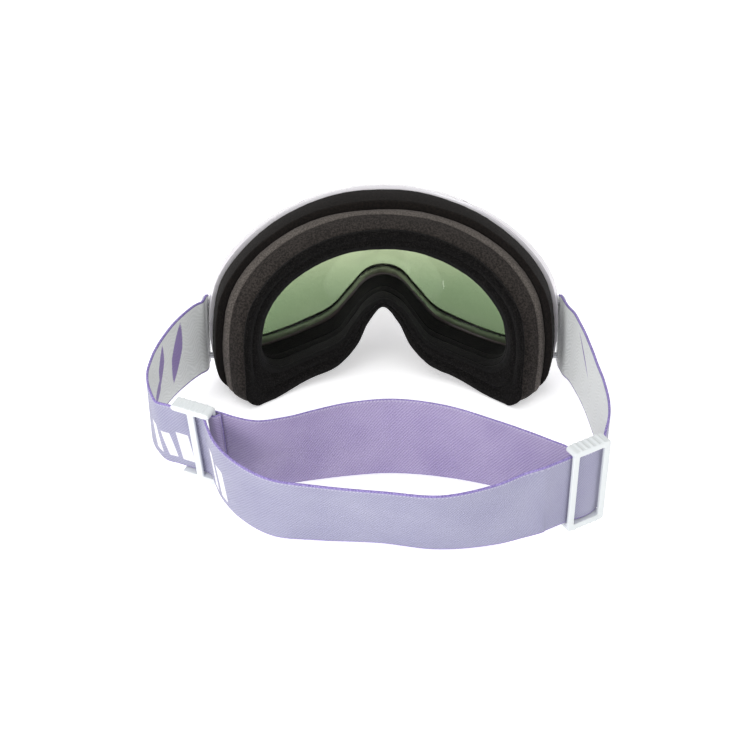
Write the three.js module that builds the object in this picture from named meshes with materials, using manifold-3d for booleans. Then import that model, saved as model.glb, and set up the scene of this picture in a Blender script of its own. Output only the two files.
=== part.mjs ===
// Ski goggles with a magnetic double lens and an adjustable elastic strap.
// Millimetres, +Z up. The lens faces -Y and the face foam faces +Y. The wearer's left is +X.
// The goggles rest on their cheeks, tipped forward, and the strap stands on its edge behind them.
import * as THREE from 'three';
import { mergeVertices } from 'three/addons/utils/BufferGeometryUtils.js';
import Module from 'manifold-3d';

const wasm = await Module();
wasm.setup();

// ---- Driving dimensions -------------------------------------------------------------------
const lean = THREE.MathUtils.degToRad(16); // how far the goggles tip forward on their cheeks
const faceDepth = 23; // how far the middle of the face curve sits in front of the temples
const gap = 0.3; // room kept between neighbouring pieces
const floorClearance = 0.2; // the lowest edges stay this far above the resting plane
const stepsPerKnot = 3; // facets between two outline points

// Depths behind the face, at the middle, with the plan radius of each level.
const depths = { skin: 2.7, face: 13, middle: 19.3, base: 33.4, frame: 34, rim: 40, seat: 47.5 };
const faceRadius = 95;
const frameRadius = 112;

const lensThickness = 1.8;
const innerLensThickness = 1.1;
const lensDome = 4.5; // how far the lens bulges forward of its rim

const strapWidth = 38;
const strapThickness = 1.5;
const loopThickness = 0.9; // the short strap is thinner where it loops round a bar
const bar = 1.6; // thickness of a slider's bars
const sliderWidth = 20; // along the strap
const sliderPlane = 2.5; // how far the bars sit to each side of the slider's middle
const strapOffset = 0.65; // how far the strap runs to one side of the slider's middle
const endBarHeight = 3.2;
const ridgeHeight = 0.4; // the grip ridges on the end bars
const sliderRoom = 0.5; // between the strap's edge and an end bar
const sliderRise = endBarHeight + ridgeHeight + sliderRoom; // how high a slider carries the strap's edge

const colours = {
  white: 0xf2f1f4, black: 0x141414, fleece: 0x0c0c0c, darkFoam: 0x302d2b, greyFoam: 0x5a5450,
  green: 0x7fa37a, lilac: 0xb3abd0, steel: 0x9a9ca0,
};

// ---- Outlines -----------------------------------------------------------------------------
// Each outline is half of a goggle shape: a rounded brow from the top to the widest point of the
// side, then the points of the cheek, the nose flank and the nose bridge.
const outlines = {
  opening: {
    half: 60.5, side: 34, top: 75, power: 2,
    low: [
      [60.5, 28], [58, 21.5], [52, 18], [44, 19.5], [34, 22.5],
      [22, 27.5], [15.5, 36], [9, 44.5], [0, 49],
    ],
  },
  face: {
    half: 68.5, side: 38, top: 85, power: 2,
    low: [
      [68.3, 16], [67.5, 4.5], [61.5, 0], [52, 2.8], [38, 8.8],
      [24, 14], [14, 24], [7.5, 36.5], [0, 44.5],
    ],
  },
  middleFront: {
    half: 76.3, side: 38, top: 90, power: 2.1,
    low: [
      [76, 14], [74.5, 5.5], [67, 3], [54, 5], [39, 10],
      [25, 15], [15, 25], [8, 37], [0, 45],
    ],
  },
  middle: {
    half: 80, side: 36, top: 91, power: 2.2,
    low: [
      [79.5, 15], [77.5, 7], [69, 5], [55, 6.8], [39, 11.5],
      [25, 16], [15, 26], [8, 38], [0, 45.5],
    ],
  },
  baseFront: {
    half: 83, side: 40, top: 95, power: 2.1,
    low: [
      [82.6, 19], [80, 11], [70, 7.5], [55, 8.5], [40, 12],
      [26, 16.5], [15.5, 26.5], [8.2, 38.5], [0, 46],
    ],
  },
  base: {
    half: 85.5, side: 42, top: 98, power: 2,
    low: [
      [85.3, 20], [82.5, 12.5], [72, 10.5], [56, 11.5], [40, 14],
      [26, 18], [16, 28], [8.5, 39.5], [0, 46.5],
    ],
  },
  frame: {
    half: 86.7, side: 46, top: 99.4, power: 1.95,
    low: [
      [86.4, 24], [83.2, 14.5], [72, 12], [56, 12.5], [40, 16],
      [27, 20], [17, 30], [9, 41], [0, 47.5],
    ],
  },
  rim: {
    half: 87.6, side: 50, top: 99.2, power: 1.9,
    low: [
      [86.8, 26], [83.4, 15.5], [72, 13], [56, 14], [40, 16.5],
      [27, 20.5], [17, 30.5], [9, 41.5], [0, 48],
    ],
  },
  seat: {
    half: 86.4, side: 50, top: 95.5, power: 1.9,
    low: [
      [85.7, 28], [82, 18.5], [72, 16.5], [57, 17], [41, 18.5],
      [28, 22], [17.5, 32], [9.5, 43], [0, 49],
    ],
  },
  lens: {
    half: 85.5, side: 49, top: 92.8, power: 1.9,
    low: [
      [84.6, 29], [80.6, 20], [71, 18], [57, 18.4], [41.5, 20.2],
      [28.3, 24], [17.6, 34], [9.4, 44.6], [0, 50],
    ],
  },
  window: {
    half: 76.5, side: 46, top: 86, power: 2,
    low: [
      [76, 27], [72.5, 21.5], [65, 20.2], [54, 21.6], [43, 24.4],
      [28, 30.6], [17.5, 41.5], [9, 50.5], [0, 53.2],
    ],
  },
};

function browPoint(outline, turn) {
  const height = outline.top - outline.side;
  const x = outline.half * Math.sin(turn) ** (2 / outline.power);
  const z = outline.side + height * Math.max(0, Math.cos(turn)) ** (2 / outline.power);
  return [x, z];
}

function outlineKnots(outline) {
  const brow = [0, 18, 36, 54, 72, 90].map((angle) => browPoint(outline, THREE.MathUtils.degToRad(angle)));
  const right = [...brow, ...outline.low];
  const left = right.slice(1, -1).reverse().map(([x, z]) => [-x, z]);
  return [...right, ...left];
}

function traceOutline(outline) {
  const knots = outlineKnots(outline).map(([x, z]) => new THREE.Vector3(x, 0, z));
  const curve = new THREE.CatmullRomCurve3(knots, true, 'centripetal');
  const count = knots.length * stepsPerKnot;
  return Array.from({ length: count }, (_, i) => curve.getPoint(i / count));
}

const traced = {};
for (const [name, outline] of Object.entries(outlines)) {
  traced[name] = traceOutline(outline);
}
const stations = traced.face.length;

// A line between two traced outlines: 0 is the first, 1 the second.
function between(first, second, part) {
  return traced[first].map((point, i) => point.clone().lerp(traced[second][i], part));
}

// A line inside the frame's wall: share 0 is its outside and 1 the window, level with a depth.
function frameLine(share, depth) {
  const level = (depth - depths.frame) / (depths.seat - depths.frame);
  return between('frame', 'seat', level).map((point, i) => point.lerp(traced.window[i], share));
}

// ---- Curved levels ------------------------------------------------------------------------
function radiusAt(depth) {
  const blend = Math.min(1, depth / depths.base);
  return faceRadius + (frameRadius - faceRadius) * blend;
}

function levelY(x, depth) {
  const radius = radiusAt(depth);
  return radius - Math.sqrt(radius * radius - x * x) - faceDepth - depth;
}

// Puts an outline point on a curved level, and keeps it above the plane that the goggles rest on.
function place(point, depth) {
  const y = levelY(point.x, depth);
  const floor = -y * Math.tan(lean) + floorClearance;
  return new THREE.Vector3(point.x, y, Math.max(point.z, floor));
}

// ---- Mesh building ------------------------------------------------------------------------
function signedVolume(positions, index) {
  const a = new THREE.Vector3();
  const b = new THREE.Vector3();
  const c = new THREE.Vector3();
  let sum = 0;
  for (let i = 0; i < index.length; i += 3) {
    a.fromArray(positions, index[i] * 3);
    b.fromArray(positions, index[i + 1] * 3);
    c.fromArray(positions, index[i + 2] * 3);
    sum += a.dot(b.cross(c));
  }
  return sum / 6;
}

function closedGeometry(points, triangles) {
  const positions = new Float32Array(points.length * 3);
  points.forEach((point, i) => point.toArray(positions, i * 3));
  const index = [...triangles];
  if (signedVolume(positions, index) < 0) index.reverse();
  const geometry = new THREE.BufferGeometry();
  geometry.setAttribute('position', new THREE.BufferAttribute(positions, 3));
  geometry.setIndex(index);
  geometry.computeVertexNormals();
  return geometry;
}

// Joins a row of equal sections: closed into a ring, or open with flat ends. Each four-sided facet is
// split along its shorter diagonal, so that neighbouring layers split alike.
function loft(sections, ring) {
  const size = sections[0].length;
  const rows = sections.length;
  const points = sections.flat();
  const triangles = [];
  for (let row = 0; row < (ring ? rows : rows - 1); row += 1) {
    const next = (row + 1) % rows;
    for (let k = 0; k < size; k += 1) {
      const a = row * size + k;
      const b = row * size + ((k + 1) % size);
      const c = next * size + ((k + 1) % size);
      const d = next * size + k;
      if (points[a].distanceTo(points[c]) < points[b].distanceTo(points[d])) {
        triangles.push(a, b, c, a, c, d);
      } else {
        triangles.push(a, b, d, b, c, d);
      }
    }
  }
  if (!ring) {
    const last = (rows - 1) * size;
    for (let k = 1; k < size - 1; k += 1) {
      triangles.push(0, k + 1, k);
      triangles.push(last, last + k, last + k + 1);
    }
  }
  return closedGeometry(points, triangles);
}

// A ring round the goggles. Each corner of its section is an outline at a depth.
function ringGeometry(corners) {
  const section = (i) => corners.map(([line, depth]) => place(line[i], depth));
  const sections = Array.from({ length: stations }, (_, i) => section(i));
  return loft(sections, true);
}

// A stretch of such a ring, from one station to another, closed at both ends.
function arcGeometry(corners, from, to) {
  const sections = [];
  for (let i = from; i <= to; i += 1) {
    const station = (i + stations) % stations;
    sections.push(corners.map(([line, depth]) => place(line[station], depth)));
  }
  return loft(sections, false);
}

function toSolid(geometry) {
  const bare = geometry.clone();
  bare.deleteAttribute('normal');
  bare.deleteAttribute('uv');
  const merged = mergeVertices(bare, 1e-4);
  const mesh = new wasm.Mesh({
    numProp: 3,
    vertProperties: new Float32Array(merged.attributes.position.array),
    triVerts: new Uint32Array(merged.index.array),
  });
  return new wasm.Manifold(mesh);
}

function fromSolid(solid) {
  const mesh = solid.getMesh();
  const geometry = new THREE.BufferGeometry();
  geometry.setAttribute('position', new THREE.BufferAttribute(new Float32Array(mesh.vertProperties), 3));
  geometry.setIndex([...mesh.triVerts]);
  geometry.computeVertexNormals();
  return geometry;
}

function cut(geometry, tools) {
  return fromSolid(tools.reduce((solid, tool) => solid.subtract(toSolid(tool)), toSolid(geometry)));
}

function join(geometries) {
  return fromSolid(geometries.map(toSolid).reduce((solid, next) => solid.add(next)));
}

function box(size, centre) {
  return new THREE.BoxGeometry(...size).translate(...centre);
}

function rod(radius, length, centre, sides = 12) {
  const upright = new THREE.CylinderGeometry(radius, radius, length, sides);
  return upright.rotateZ(Math.PI / 2).translate(...centre);
}

function part(name, geometry, colour, roughness, metalness = 0) {
  const material = new THREE.MeshStandardMaterial({ color: colour, roughness, metalness });
  const mesh = new THREE.Mesh(geometry, material);
  mesh.name = name;
  return mesh;
}

// ---- Frame --------------------------------------------------------------------------------
const wallPart = 0.3; // share of the frame's width that the outer wall takes
const channelFrom = 0.38; // the vent and magnet channel lies between these two shares
const channelTo = 0.66;
const rimPart = 0.72; // the window rim starts here
const topVents = [-48, -24, 0, 24, 48]; // x of the slots in the brow
const lowVents = [38, 54]; // x of the slots under each cheek
const ventLength = 15;
const ventWidth = 5;
const rivetHeights = [19, 47];
const rivetRadius = 1.6;

function ventTools() {
  const middle = (depths.frame + depths.seat) / 2 + 0.6;
  const slot = (x, z, height) => box([ventLength, ventWidth, height], [x, levelY(x, middle), z]);
  const top = topVents.map((x) => slot(x, browHeight(x) - 1, 16));
  const low = [-1, 1].flatMap((side) => lowVents.map((x) => slot(side * x, 16.5, 10)));
  return [...top, ...low];
}

function browHeight(x) {
  const { half, side, top, power } = outlines.rim;
  return side + (top - side) * (1 - (Math.abs(x) / half) ** power) ** (1 / power);
}

function frameShell() {
  const shell = ringGeometry([
    [traced.frame, depths.frame],
    [traced.rim, depths.rim],
    [traced.seat, depths.seat],
    [frameLine(wallPart, depths.seat), depths.seat],
    [frameLine(wallPart, depths.frame), depths.frame],
  ]);
  const hole = (side, z) => rod(rivetRadius + gap, 12, [side * 87, clipY, z]);
  const rivetHoles = [-1, 1].flatMap((side) => rivetHeights.map((z) => hole(side, z)));
  return cut(shell, [...ventTools(), ...rivetHoles]);
}

function innerFrame() {
  const wall = wallPart + 0.04;
  const back = depths.frame + 0.4;
  const shelf = back + 4;
  const front = depths.seat - 0.5;
  return ringGeometry([
    [frameLine(wall, back), back],
    [traced.window, back],
    [traced.window, front],
    [frameLine(rimPart, front), front],
    [frameLine(rimPart, shelf), shelf],
    [frameLine(wall, shelf), shelf],
  ]);
}

function channelPiece(from, to, front, back) {
  return arcGeometry([
    [frameLine(channelFrom, front), front],
    [frameLine(channelTo, front), front],
    [frameLine(channelTo, back), back],
    [frameLine(channelFrom, back), back],
  ], from, to);
}

// ---- Foam ---------------------------------------------------------------------------------
// A layer may carry a further line on its front, where the next layer's edge stands on it.
function foamLayer(outerFront, outerBack, front, back, innerFront, innerBack, step = []) {
  return ringGeometry([
    [traced[outerFront], front],
    [traced[outerBack], back],
    [innerBack, back],
    [innerFront, front],
    ...step.map((line) => [traced[line], front]),
  ]);
}

function foams() {
  const wide = (share) => between('opening', 'window', share);
  const { skin, face, middle, base } = depths;
  const fleece = foamLayer('face', 'face', 0, skin, traced.opening, traced.opening);
  const soft = foamLayer('face', 'middleFront', skin + gap, face, traced.opening, wide(0.12));
  const firm = foamLayer('middleFront', 'middle', face + gap, middle, wide(0.12), wide(0.3));
  const firmest = foamLayer('baseFront', 'base', middle + gap, base, wide(0.3), wide(0.8), ['middle']);
  return [
    part('face_fleece', fleece, colours.fleece, 1),
    part('foam_face', soft, colours.darkFoam, 1),
    part('foam_middle', firm, colours.greyFoam, 1),
    part('foam_base', firmest, colours.black, 1),
  ];
}

// ---- Lens ---------------------------------------------------------------------------------
// The height of an outline's top or bottom edge at x, read between its traced points.
function edgeHeight(line, x, upper) {
  const half = Math.ceil(line.length / 2);
  const side = x >= 0 ? line.slice(0, half + 1) : [line[0], ...line.slice(half).reverse()];
  const wider = (best, point, i) => (Math.abs(point.x) > Math.abs(side[best].x) ? i : best);
  const widest = side.reduce(wider, 0);
  const run = upper ? side.slice(0, widest + 1) : side.slice(widest);
  for (let i = 0; i < run.length - 1; i += 1) {
    const low = Math.min(run[i].x, run[i + 1].x);
    const high = Math.max(run[i].x, run[i + 1].x);
    if (x >= low && x <= high && high > low) {
      return run[i].z + (run[i + 1].z - run[i].z) * ((x - run[i].x) / (run[i + 1].x - run[i].x));
    }
  }
  return run[upper ? run.length - 1 : 0].z;
}

// A curved pane: columns from side to side, each with rows from its lower to its upper edge.
function pane(line, depth, thickness, dome) {
  const columns = 44;
  const rows = 6;
  const reach = Math.max(...line.map((point) => point.x)) * 0.997;
  const sections = [];
  for (let c = 0; c <= columns; c += 1) {
    const x = reach * Math.sin((c / columns - 0.5) * Math.PI);
    const low = edgeHeight(line, x, false);
    const high = edgeHeight(line, x, true);
    const face = (row, offset) => {
      const share = row / rows;
      const across = (2 * share - 1) ** 2;
      const bulge = dome * (1 - across) ** 2 * (1 - (x / reach) ** 4);
      const point = place(new THREE.Vector3(x, 0, low + (high - low) * share), depth + offset);
      point.y -= bulge;
      return point;
    };
    const front = Array.from({ length: rows + 1 }, (_, row) => face(row, thickness));
    const back = Array.from({ length: rows + 1 }, (_, row) => face(rows - row, 0));
    sections.push([...front, ...back]);
  }
  return paneLoft(sections, rows + 1);
}

// Joins the pane's columns, and closes its two side edges with strips.
function paneLoft(sections, perFace) {
  const size = sections[0].length;
  const triangles = [];
  for (let row = 0; row < sections.length - 1; row += 1) {
    for (let k = 0; k < size; k += 1) {
      const a = row * size + k;
      const b = row * size + ((k + 1) % size);
      triangles.push(a, b, b + size, a, b + size, a + size);
    }
  }
  const last = (sections.length - 1) * size;
  for (let k = 0; k < perFace - 1; k += 1) {
    const across = size - 1 - k;
    triangles.push(k, across, k + 1, k + 1, across, across - 1);
    triangles.push(last + k, last + k + 1, last + across, last + k + 1, last + across - 1, last + across);
  }
  return closedGeometry(sections.flat(), triangles);
}

// The carrier has a channel at its back that holds the lens magnets.
const gasketBack = depths.seat + 0.6;
const gasketFront = depths.seat + 3;
const channelRoof = gasketFront - 0.9;

function lensLine(share) {
  return between('lens', 'window', share);
}

function lensGasket() {
  return ringGeometry([
    [lensLine(0.04), gasketBack], [lensLine(0.04), gasketFront], [lensLine(0.95), gasketFront],
    [lensLine(0.95), gasketBack], [lensLine(0.74), gasketBack], [lensLine(0.74), channelRoof],
    [lensLine(0.3), channelRoof], [lensLine(0.3), gasketBack],
  ]);
}

function lensMagnet(from, to) {
  const front = channelRoof - gap;
  const back = gasketBack + 0.1;
  return arcGeometry([
    [lensLine(channelFrom), front], [lensLine(channelTo), front],
    [lensLine(channelTo), back], [lensLine(channelFrom), back],
  ], from, to);
}

function lensSpacer(front, back) {
  const outside = lensLine(0.1);
  const inside = lensLine(0.32);
  return ringGeometry([[outside, front], [inside, front], [inside, back], [outside, back]]);
}

// ---- Strap clips --------------------------------------------------------------------------
const clipY = -24; // the clip sits on the frame's side wall
const clipDepth = 8;
const clipMiddle = 33.4; // height of the strap's middle on the clip
const plateThickness = 1.1;
const plateLip = 0.8; // how far the plate reaches past the strap's edges
const clipStrapX = 89.15; // the strap's end lies flat on the frame's side wall
const plateX = clipStrapX + strapThickness / 2 + gap + plateThickness / 2;

function strapClip(side) {
  const height = strapWidth + 2 * plateLip;
  const plate = box([plateThickness, clipDepth, height], [side * plateX, clipY, clipMiddle]);
  const boss = (z) => rod(rivetRadius + 1.2, plateThickness + 0.6, [side * (plateX + 0.3), clipY, z], 24);
  const bosses = rivetHeights.map(boss);
  const holes = rivetHeights.map((z) => rod(rivetRadius + gap, 6, [side * plateX, clipY, z]));
  return cut(join([plate, ...bosses]), holes);
}

// A rivet goes through the clip and the strap into the frame.
function clipRivet(side, z) {
  const outer = plateX + plateThickness / 2 + 0.6;
  const length = 6.6;
  return rod(rivetRadius, length, [side * (outer - length / 2), clipY, z]);
}

// ---- Sliders ------------------------------------------------------------------------------
// One moulding, used twice. Its own X runs along the strap, Y out of the loop, and Z up.
function slider() {
  const reach = strapWidth / 2 + sliderRoom;
  const thickness = 2 * sliderPlane + bar;
  const outerX = sliderWidth / 2 - bar;
  const length = 2 * reach + endBarHeight;
  const outerBars = [-1, 1].map((end) => box([2 * bar, bar, length], [end * outerX, sliderPlane, 0]));
  const centreBar = box([2.2 * bar, bar, length], [0, -sliderPlane, 0]);
  const endBars = [-1, 1].map((end) => {
    const ridge = (k) => box([1.3, thickness, 2 * ridgeHeight], [k * 3.2, 0, end * (reach + endBarHeight)]);
    const body = box([sliderWidth, thickness, endBarHeight], [0, 0, end * (reach + endBarHeight / 2)]);
    return join([body, ...[-2, -1, 0, 1, 2].map(ridge)]);
  });
  return join([...outerBars, centreBar, ...endBars]);
}

// ---- Straps -------------------------------------------------------------------------------
// A strap follows a route of points. Each has its place, and the way its width leans as it stands.
function strapGeometry(route, width, thickness) {
  const places = route.map(({ at }) => new THREE.Vector3(...at));
  const leans = route.map(({ up }) => new THREE.Vector3(...up));
  const path = new THREE.CatmullRomCurve3(places, false, 'centripetal');
  const ups = new THREE.CatmullRomCurve3(leans, false, 'centripetal');
  const count = (route.length - 1) * 2;
  const sections = Array.from({ length: count + 1 }, (_, i) => {
    const share = i / count;
    const at = path.getPoint(share);
    const along = path.getTangent(share);
    const up = ups.getPoint(share).normalize();
    const out = new THREE.Vector3().crossVectors(along, up).normalize();
    const across = new THREE.Vector3().crossVectors(out, along).normalize();
    across.multiplyScalar(width / 2);
    out.multiplyScalar(thickness / 2);
    const corner = (w, t) => at.clone().addScaledVector(across, w).addScaledVector(out, t);
    return [corner(-1, -1), corner(1, -1), corner(1, 1), corner(-1, 1)];
  });
  return loft(sections, false);
}

// The end of a strap, turned round a bar and laid back along itself, as [along, across] steps.
// Flat is half of the bar's width beyond its rounded edges.
function endLoop(start, along, across, up, radius, flat, tail, fold) {
  const turn = [];
  for (let angle = 0; angle <= 180; angle += 30) {
    const a = THREE.MathUtils.degToRad(angle);
    turn.push([-flat - radius * Math.sin(a), radius * (1 + Math.cos(a))]);
  }
  const back = [[tail, fold], [tail * 0.75, fold], [flat + 1, 2 * radius]];
  const steps = [...back, ...turn, [flat + 1, 0], [flat + 4, 0]];
  return steps.map(([a, b]) => ({
    at: start.map((value, i) => value + along[i] * a + across[i] * b),
    up,
  }));
}

// Points of a strap that stands on its edge: its place on the table, how its top leans, and its rise.
function standing(points) {
  return points.map(([x, y, rise, leanX = 0, leanY = 0]) => {
    const up = new THREE.Vector3(leanX, leanY, 1).normalize();
    return { at: [x, y, up.z * strapWidth / 2 + floorClearance + rise], up: up.toArray() };
  });
}

function tipped(point) {
  return point.applyAxisAngle(new THREE.Vector3(1, 0, 0), lean);
}

// Where each slider stands on the table, the way the strap runs through it, and how its top leans out.
const leftSlider = { at: [86, 57.2], along: [-0.905, 0.425], leanOut: 0.12, flip: true };
const rightSlider = { at: [-89.6, 87], along: [-0.858, -0.513], leanOut: 0, flip: false };

// The directions of a slider: along the strap, out of the loop, and up.
function axesOf({ along, leanOut }) {
  const run = new THREE.Vector3(...along, 0).normalize();
  const level = new THREE.Vector3(run.y, -run.x, 0);
  const up = level.clone().multiplyScalar(leanOut).add(new THREE.Vector3(0, 0, 1)).normalize();
  const out = new THREE.Vector3().crossVectors(run, up).normalize();
  return { run, out, up };
}

function sliderMiddle(holder) {
  const height = axesOf(holder).up.z * (strapWidth / 2 + sliderRise) + floorClearance;
  return new THREE.Vector3(...holder.at, height);
}

// Along is measured from the slider's middle, and out away from the middle of the loop.
function nearSlider(holder, steps) {
  const { run, out, up } = axesOf(holder);
  const start = sliderMiddle(holder);
  return steps.map(([along, away]) => ({
    at: start.clone().addScaledVector(run, along).addScaledVector(out, away).toArray(),
    up: up.toArray(),
  }));
}

const clipUp = tipped(new THREE.Vector3(0, 0, 1)).toArray();

// The strap's end, flat against the frame's side wall.
function clipEnd(side) {
  return [clipY - 5, clipY - 2, clipY + 2, clipY + 4.5].map((y) => ({
    at: tipped(new THREE.Vector3(side * clipStrapX, y, clipMiddle)).toArray(),
    up: clipUp,
  }));
}

function outerStrap() {
  const leftSide = [
    { at: [90, -22.9, 27.3], up: [0, -0.262, 0.965] },
    { at: [93.4, -18.0, 27.8], up: [0, -0.24, 0.971] },
    { at: [97.2, -11.9, 28.0], up: [0, -0.2, 0.98] },
    { at: [100.9, -5.2, 27.9], up: [0, -0.16, 0.987] },
    { at: [104.6, 2.6, 27.5], up: [-0.01, -0.109, 0.994] },
    { at: [108.2, 11.8, 26.7], up: [-0.02, -0.06, 0.998] },
    { at: [110.4, 19.9, 25.9], up: [-0.025, -0.02, 0.999] },
    { at: [111.2, 31.0, 24.9], up: [-0.01, 0.01, 1] },
    { at: [108.3, 42.1, 24.2], up: [0.02, 0.06, 0.998] },
  ];
  const throughLeft = nearSlider(leftSlider, [
    [-20, 0], [-13, 0], [-6, 0], [0, 0], [3, 0], [6, 1.4], [10.5, 6],
  ]);
  const back = standing([
    [75, 77, 3, 0.04, 0.14], [66, 88.5, 1.6, 0.02, 0.14], [50.5, 99.5, 0.6, 0, 0.14],
    [30, 102.6, 0, 0, 0.18], [2, 105.3, 0, 0, 0.23], [-24, 109, 0, 0, 0.2],
    [-50, 104.3, 0.6, 0, 0.08], [-61, 101.2, 2.4, 0, 0.02],
  ]);
  const throughRight = nearSlider(rightSlider, [
    [-23, 0], [-18, 0], [-12, 0], [-6, 0], [0, 0], [4, 0], [9, -1.6], [15, -7],
  ]);
  const rightSide = [
    { at: [-101.8, 62, 23.6], up: [0, 0, 1] },
    { at: [-102.8, 51, 24.2], up: [0, 0, 1] },
    { at: [-102.0, 36.3, 25.0], up: [0, -0.02, 1] },
    { at: [-100.4, 25.2, 26.0], up: [0.01, -0.04, 0.999] },
    { at: [-99.0, 15.8, 27.0], up: [0.015, -0.091, 0.996] },
    { at: [-97.4, 6.7, 27.7], up: [0.015, -0.12, 0.993] },
    { at: [-95.3, -2.9, 28.3], up: [0.01, -0.171, 0.985] },
    { at: [-93.4, -10.9, 28.3], up: [0.005, -0.2, 0.98] },
    { at: [-90.9, -17.9, 27.9], up: [0, -0.24, 0.971] },
    { at: [-89.8, -23.3, 27.3], up: [0, -0.262, 0.965] },
  ];
  const route = [
    ...clipEnd(1), ...leftSide, ...throughLeft, ...back, ...throughRight, ...rightSide,
    ...clipEnd(-1).reverse(),
  ];
  const holes = [-1, 1].flatMap((side) => rivetHeights.map((z) => (
    rod(rivetRadius + gap, 5, [side * clipStrapX, clipY, z]).rotateX(lean)
  )));
  return cut(strapGeometry(route, strapWidth, strapThickness), holes);
}

// The short strap loops round one outer bar of the left slider and the centre bar of the right one.
function innerStrap() {
  const radius = bar / 2 + 0.4 + loopThickness / 2;
  const leftBar = sliderWidth / 2 - bar;
  const holds = [
    { holder: leftSlider, way: 1, barAlong: leftBar, barWidth: 2 * bar },
    { holder: rightSlider, way: -1, barAlong: 0, barWidth: 2.2 * bar },
  ];
  const ends = holds.map(({ holder, way, barAlong, barWidth }) => {
    const { run, out, up } = axesOf(holder);
    const away = -(sliderPlane + strapOffset) - radius;
    const start = sliderMiddle(holder).addScaledVector(run, barAlong).addScaledVector(out, away);
    const leave = run.clone().multiplyScalar(way);
    const flat = (barWidth - bar) / 2;
    const fold = loopThickness + gap;
    return endLoop(start.toArray(), leave.toArray(), out.toArray(), up.toArray(), radius, flat, 9, fold);
  });
  const middle = standing([
    [58, 64.2, 3, 0, -0.02], [44.7, 61, 2, 0, -0.06], [31, 55.3, 1, 0, -0.16],
    [16.3, 50.5, 0.7, 0, -0.26], [-3.7, 47.9, 0.7, 0, -0.3], [-27, 52, 0.7, 0, -0.22],
    [-52, 63.5, 1.6, 0, -0.04], [-65, 72.4, 3, 0, 0], [-74, 79, 3.6, 0, 0], [-79, 82.6, 3.9, 0, 0],
  ]);
  const route = [...ends[0], ...middle, ...ends[1].reverse()];
  return strapGeometry(route, strapWidth - 0.6, loopThickness);
}

// ---- Assembly -----------------------------------------------------------------------------
const eyepiece = new THREE.Group();
const strapping = new THREE.Group();

eyepiece.add(part('frame_shell', frameShell(), colours.white, 0.35));
eyepiece.add(part('inner_frame', innerFrame(), colours.black, 0.6));
eyepiece.add(...foams());

// Stations count round the goggles from the middle of the brow towards the wearer's left.
const channelDeep = [depths.seat - 0.8, depths.frame + 4.8];
const topVentReach = 8;
const lowVentStations = [27, 33];
const ventSpans = {
  vent_foam_top: [-topVentReach, topVentReach],
  vent_foam_bottom_left: lowVentStations,
  vent_foam_bottom_right: [-lowVentStations[1], -lowVentStations[0]],
};
for (const [name, span] of Object.entries(ventSpans)) {
  eyepiece.add(part(name, channelPiece(...span, ...channelDeep), colours.black, 1));
}

const magnetStations = { brow: 10, side: 21, cheek: 35 };
for (const [spot, station] of Object.entries(magnetStations)) {
  for (const [name, way] of [['left', 1], ['right', -1]]) {
    const span = way > 0 ? [station, station + 2] : [-station - 2, -station];
    const held = channelPiece(...span, depths.seat - 0.4, depths.frame + 4.8);
    const carried = lensMagnet(...span);
    eyepiece.add(part(`frame_magnet_${spot}_${name}`, held, colours.steel, 0.3, 1));
    eyepiece.add(part(`lens_magnet_${spot}_${name}`, carried, colours.steel, 0.3, 1));
  }
}

const innerLensDepth = depths.seat + 3.4;
const spacerBack = innerLensDepth + innerLensThickness + 0.7;
const outerLensDepth = spacerBack + 2.2;
const innerPane = pane(lensLine(0.04), innerLensDepth, innerLensThickness, lensDome);
const outerPane = pane(traced.lens, outerLensDepth, lensThickness, lensDome);
eyepiece.add(part('lens_gasket', lensGasket(), colours.black, 0.7));
eyepiece.add(part('lens_inner', innerPane, colours.green, 0.1));
eyepiece.add(part('lens_spacer', lensSpacer(outerLensDepth - gap, spacerBack), colours.black, 1));
eyepiece.add(part('lens_outer', outerPane, colours.green, 0.05, 0.4));

for (const [name, side] of [['left', 1], ['right', -1]]) {
  eyepiece.add(part(`strap_clip_${name}`, strapClip(side), colours.white, 0.4));
  eyepiece.add(part(`clip_rivet_lower_${name}`, clipRivet(side, rivetHeights[0]), colours.steel, 0.3, 1));
  eyepiece.add(part(`clip_rivet_upper_${name}`, clipRivet(side, rivetHeights[1]), colours.steel, 0.3, 1));
}
eyepiece.rotation.x = lean;

function placedSlider(name, holder) {
  const mesh = part(name, slider(), colours.white, 0.3);
  const { run, out, up } = axesOf(holder);
  const turn = holder.flip ? -1 : 1; // the left slider is mounted the other way round
  const x = run.clone().multiplyScalar(-turn);
  const y = out.clone().multiplyScalar(turn);
  mesh.setRotationFromMatrix(new THREE.Matrix4().makeBasis(x, y, up));
  mesh.position.copy(sliderMiddle(holder)).addScaledVector(out, -strapOffset);
  return mesh;
}

strapping.add(part('strap_outer', outerStrap(), colours.lilac, 1));
strapping.add(part('strap_inner', innerStrap(), colours.lilac, 1));
strapping.add(placedSlider('slider_left', leftSlider));
strapping.add(placedSlider('slider_right', rightSlider));

const goggles = new THREE.Group();
goggles.add(eyepiece, strapping);
goggles.updateMatrixWorld(true);

// The origin is the middle of the whole object's box, on the surface that it rests on.
const bounds = new THREE.Box3().setFromObject(goggles, true);
const middle = bounds.getCenter(new THREE.Vector3());
goggles.position.set(-middle.x, -middle.y, -bounds.min.z);
goggles.updateMatrixWorld(true);

export default goggles;
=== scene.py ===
import math

import bmesh
import bpy
import numpy as np
from mathutils import Matrix, Vector, noise


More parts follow.
